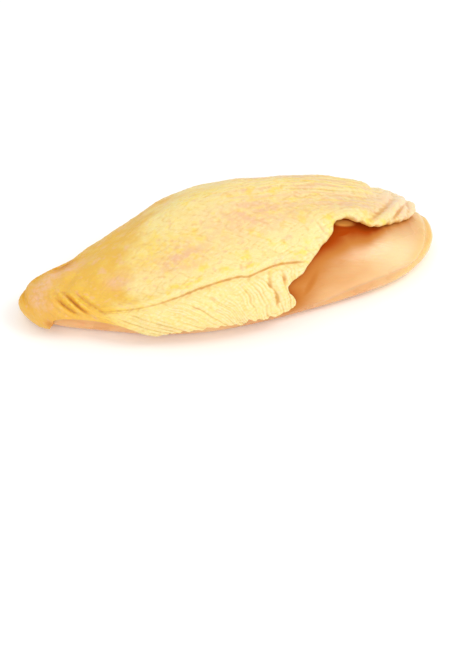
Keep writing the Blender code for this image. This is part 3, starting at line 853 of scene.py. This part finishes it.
class Nodes:
    """Builds one material's nodes. Each call returns an output socket to feed to the next."""

    def __init__(self, name):
        self.material = bpy.data.materials.new(name)
        self.material.use_nodes = True
        self.tree = self.material.node_tree
        self.shader = self.tree.nodes["Principled BSDF"]

    def put(self, socket, value):
        if isinstance(value, bpy.types.NodeSocket):
            self.tree.links.new(value, socket)
        elif isinstance(value, tuple) and len(value) == 3 and socket.type == "RGBA":
            socket.default_value = (*value, 1.0)
        else:
            socket.default_value = value

    def node(self, kind, settings=None, **inputs):
        new = self.tree.nodes.new(kind)
        for name, value in (settings or {}).items():
            setattr(new, name, value)
        for name, value in inputs.items():
            self.put(new.inputs[name.replace("_", " ")], value)
        return new

    def mask(self, name):
        return self.node("ShaderNodeAttribute", {"attribute_name": name}).outputs["Fac"]

    def plan(self, stretch=(1.0, 1.0, 1.0), turn=0.0):
        """Places on the flat plan, in centimetres, turned by degrees and stretched."""
        places = self.node("ShaderNodeAttribute", {"attribute_name": "plan"}).outputs["Vector"]
        turned_by = (0.0, 0.0, math.radians(turn))
        return self.node("ShaderNodeMapping", Vector=places, Rotation=turned_by, Scale=stretch).outputs[0]

    def noise(self, places, scale, detail):
        new = self.node("ShaderNodeTexNoise", Vector=places, Scale=scale, Detail=detail, Roughness=0.55)
        return new.outputs["Fac"]

    def between(self, value, low, high, out_low=0.0, out_high=1.0):
        """Goes smoothly from out_low to out_high as value goes from low to high."""
        new = self.node("ShaderNodeMapRange", {"interpolation_type": "SMOOTHSTEP"}, Value=value)
        limits = {"From Min": low, "From Max": high, "To Min": out_low, "To Max": out_high}
        for name, number in limits.items():
            new.inputs[name].default_value = number
        return new.outputs[0]

    def maths(self, operation, a, b):
        new = self.node("ShaderNodeMath", {"operation": operation})
        self.put(new.inputs[0], a)
        self.put(new.inputs[1], b)
        return new.outputs[0]

    def times(self, a, b):
        return self.maths("MULTIPLY", a, b)

    def most(self, a, b):
        return self.maths("MAXIMUM", a, b)

    def mix(self, share, a, b):
        new = self.node("ShaderNodeMix", {"data_type": "RGBA"})
        self.put(new.inputs["Factor"], share)
        colour_inputs = [socket for socket in new.inputs if socket.type == "RGBA"]
        self.put(colour_inputs[0], a)
        self.put(colour_inputs[1], b)
        return next(socket for socket in new.outputs if socket.type == "RGBA")

    def bump(self, height, distance, strength):
        return self.node("ShaderNodeBump", Height=height, Distance=distance, Strength=strength).outputs[0]

    def finish(self, **inputs):
        for name, value in inputs.items():
            self.put(self.shader.inputs[name.replace("_", " ")], value)
        return self.material


def mottled_skin(n, fine):
    """The skin's ground colour: ochre at the pointed end and pale yellow further on, with yellow spots."""
    plan = n.plan()
    pale = n.maths("ADD", n.mask("pale"), n.between(n.noise(plan, *MOTTLE), 0.3, 0.7, -0.3, 0.3))
    colour = n.mix(n.between(pale, 0.0, 1.0), SKIN_OCHRE, SKIN_PALE)
    yellow = n.times(n.mask("yellow"), n.between(fine, 0.35, 0.6))
    spots = n.between(n.noise(plan, *SPOTS), 0.5, 0.7)
    spots = n.times(spots, n.between(n.mask("pale"), 0.0, 1.0, 0.25, 0.8))
    return n.mix(n.most(n.times(yellow, YELLOW_SHARE), spots), colour, SKIN_YELLOW)


def patched_skin(n, colour):
    """Gold and pink patches, the crown's lines, and the paler hem and bunched end."""
    plan = n.plan()
    streaks = n.between(n.noise(n.plan((1.2, 0.5, 1.0), 30.0), *STREAKS), 0.36, 0.56)
    gold = n.most(n.times(n.mask("gold"), streaks), n.times(n.mask("tip"), TIP_GOLD_SHARE))
    colour = n.mix(n.times(gold, GOLD_SHARE), colour, SKIN_GOLD)
    pink = n.times(n.mask("pink"), n.between(n.noise(plan, *PATCHY), 0.36, 0.6, 0.3, 0.95))
    flecks = n.between(n.noise(plan, *FLECKS), 0.54, 0.70, 0.0, FLECK_SHARE)
    colour = n.mix(n.most(pink, flecks), colour, SKIN_PINK)
    lines = n.noise(n.plan((0.16, 1.7, 1.0), 5.0), *CROWN_LINES)
    for low, high, tint in ((0.52, 0.6, SKIN_PINK), (0.46, 0.38, SKIN_YELLOW)):
        line = n.times(n.mask("crown"), n.between(lines, low, high, 0.0, CROWN_LINE_SHARE))
        colour = n.mix(line, colour, tint)
    colour = n.mix(n.times(n.mask("hem"), HEM_PALE_SHARE), colour, SKIN_PALE)
    return n.mix(n.times(n.mask("bunch"), BUNCH_SHARE), colour, SKIN_BUNCH)


def creased_skin(n, colour):
    """Painted highlight on crests, painted shade in fine creases, in fine lines and in deep folds, and the
    cut edge.
    """
    # A painted highlight on crests and pimples of the pale skin, stronger on the hem
    crest_highlight_share = n.times(n.mask("pale"), n.between(n.mask("hem"), 0.0, 1.0, 0.25, 0.5))
    colour = n.mix(n.times(n.between(n.mask("crest_highlight"), 0.1, 1.0), crest_highlight_share), colour, SKIN_CREST_HIGHLIGHT)
    # Painted shade in fine creases, weaker on the hem and the bunched end
    shown = n.between(n.most(n.mask("hem"), n.mask("bunch")), 0.0, 1.0, 0.42, 0.25)
    colour = n.mix(n.times(n.between(n.mask("line"), 0.1, 1.0), shown), colour, SKIN_CREASE_SHADE)
    # Fine lines of painted shade along the crossed wrinkles' headings
    for heading, cells in WRINKLE_SHADE_LINES:
        wavy = n.noise(n.plan((0.4, 1.5, 1.0), heading), cells, 2.0)
        beside = n.maths("ABSOLUTE", n.maths("SUBTRACT", wavy, 0.5), 0.0)
        colour = n.mix(n.between(beside, 0.0, 0.03, WRINKLE_SHADE_SHARE, 0.0), colour, SKIN_CREASE_SHADE)
    # Painted shade in deep folds, paler on the bunched end, and in notches of the outline
    soft = n.maths("SUBTRACT", 1.0, n.times(n.mask("bunch"), BUNCH_FOLDS_PALER))
    fold = n.times(n.between(n.mask("fold"), 0.1, 1.0, 0.0, FOLD_SHADE_SHARE), soft)
    colour = n.mix(n.most(fold, n.mask("notch_shade")), colour, SKIN_FOLD_SHADE)
    return n.mix(n.mask("edge"), colour, SKIN_EDGE)


def skin_material():
    """Moist skin over a layer of fat, with less gloss on the golden tip."""
    n = Nodes("raw_skin")
    fine = n.noise(n.plan(), *SKIN_FINE)
    gloss = n.between(n.mask("gold"), 0.0, 0.8, 0.5, 0.1)
    return n.finish(
        Base_Color=creased_skin(n, patched_skin(n, mottled_skin(n, fine))),
        Roughness=n.between(fine, 0.3, 0.7, 0.34, 0.52),
        Normal=n.bump(n.noise(n.plan(), *SKIN_GRAIN), 0.0006, 0.35),
        Subsurface_Weight=0.3,
        Subsurface_Radius=(1.0, 0.55, 0.22),
        Subsurface_Scale=0.0015,
        Specular_IOR_Level=gloss,
        Coat_Weight=n.times(gloss, 0.5),
        Coat_Roughness=0.2,
        IOR=1.42,
    )


def meat_material():
    """Raw breast meat: wet, slightly clear, with a lengthwise grain, and with painted reddish shade and less
    gloss close under the skin.
    """
    n = Nodes("raw_meat")
    fibres = n.noise(n.plan((0.3, 3.6, 1.0), MEAT_HEADING), *MEAT_FIBRES)
    broad = n.noise(n.plan((0.7, 1.1, 1.0), MEAT_HEADING), *MEAT_BROAD)
    colour = n.mix(n.between(broad, 0.25, 0.75), MEAT_PEACH, MEAT_PALE)
    colour = n.mix(n.between(fibres, 0.45, 0.8, 0.0, FIBRE_SHARE), colour, MEAT_PALE)
    # A painted highlight on the meat
    colour = n.mix(n.times(n.mask("painted_sheen"), SHEEN_SHARE), colour, MEAT_SHEEN)
    # Painted shade along the skin's arched edge: ochre, then deep reddish at its core; the meat there is also
    # less glossy and less clear
    shade = n.between(n.mask("red"), 0.08, 0.5)
    lit = n.times(n.maths("SUBTRACT", 1.0, shade), 0.5)
    colour = n.mix(shade, colour, MEAT_SOFT_SHADE)
    colour = n.mix(n.between(n.mask("red"), 0.42, 0.85), colour, MEAT_DEEP_SHADE)
    # Painted light under the arch's top
    colour = n.mix(n.between(n.mask("arch_light"), 0.25, 0.8), colour, MEAT_ARCH_LIGHT)
    colour = n.mix(n.times(n.mask("fat"), FAT_SHARE), colour, MEAT_FAT)
    return n.finish(
        Base_Color=colour,
        Roughness=n.between(broad, 0.3, 0.7, 0.22, 0.36),
        Normal=n.bump(fibres, 0.0008, 0.25),
        Specular_IOR_Level=lit,
        Subsurface_Weight=lit,
        Subsurface_Radius=(1.0, 0.45, 0.2),
        Subsurface_Scale=0.005,
        Coat_Weight=lit,
        Coat_Roughness=0.2,
        IOR=1.4,
    )


def dress(piece, node, material):
    """Puts the material on a piece that stands for a CAD node, and lets it ride on the root body."""
    piece.data.materials.append(material)
    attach(piece, "root")
    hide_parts(node)


def make_floor():
    """A plain pale floor."""
    bpy.ops.mesh.primitive_plane_add(size=FLOOR_SIZE)
    floor = bpy.context.object
    floor.name = "floor"
    pale = Nodes("pale_floor").finish(
        Base_Color=FLOOR_PALE, Roughness=0.6, Emission_Color=FLOOR_GLOW, Emission_Strength=0.1
    )
    floor.data.materials.append(pale)


def make_camera():
    """The photograph's camera: a long lens from the front left, above the breast."""
    forward = np.array([-math.sin(CAMERA_AZIMUTH), math.cos(CAMERA_AZIMUTH), 0])
    right = np.array([math.cos(CAMERA_AZIMUTH), math.sin(CAMERA_AZIMUTH), 0])
    view = forward * math.cos(CAMERA_ELEVATION) - np.array([0, 0, 1]) * math.sin(CAMERA_ELEVATION)
    up = np.cross(right, view)
    aside = (AIM_PIXEL[0] - PHOTO_WIDTH / 2) * MM_PER_PIXEL
    above = (PHOTO_HEIGHT / 2 - AIM_PIXEL[1]) * MM_PER_PIXEL
    distance = LENS / SENSOR * PHOTO_HEIGHT * MM_PER_PIXEL
    eye = np.array(AIM_POINT) - aside * right - above * up - distance * view
    data = bpy.data.cameras.new("camera")
    data.lens = LENS
    data.sensor_width = SENSOR
    data.clip_start = 0.01
    camera = bpy.data.objects.new("camera", data)
    bpy.context.scene.collection.objects.link(camera)
    camera.matrix_world = Matrix(np.column_stack([right, up, -view]).tolist()).to_4x4()
    camera.location = (eye * MM).tolist()
    bpy.context.scene.camera = camera


def add_area_light(name, place, size, power):
    """A soft box at place that points at the breast."""
    data = bpy.data.lights.new(name, "AREA")
    data.size = size
    data.energy = power
    light = bpy.data.objects.new(name, data)
    bpy.context.scene.collection.objects.link(light)
    away = np.array(place, float)
    facing = away / np.linalg.norm(away)
    side = np.cross((0, 0, 1), facing)
    side /= np.linalg.norm(side)
    light.matrix_world = Matrix(np.column_stack([side, np.cross(facing, side), facing]).tolist()).to_4x4()
    light.location = place


def make_light():
    """High-key studio light: a bright room, and soft boxes above the right and the front left."""
    world = bpy.data.worlds.new("studio")
    world.use_nodes = True
    background = world.node_tree.nodes["Background"]
    background.inputs["Color"].default_value = (1.0, 1.0, 1.0, 1.0)
    background.inputs["Strength"].default_value = ROOM_LIGHT
    bpy.context.scene.world = world
    add_area_light("key", **KEY_LIGHT)
    add_area_light("front", **FRONT_LIGHT)
    bpy.context.scene.view_settings.view_transform = "Standard"


make_camera()
dress(make_skin(), "skin", skin_material())
dress(make_meat(), "meat", meat_material())
make_floor()
make_light()
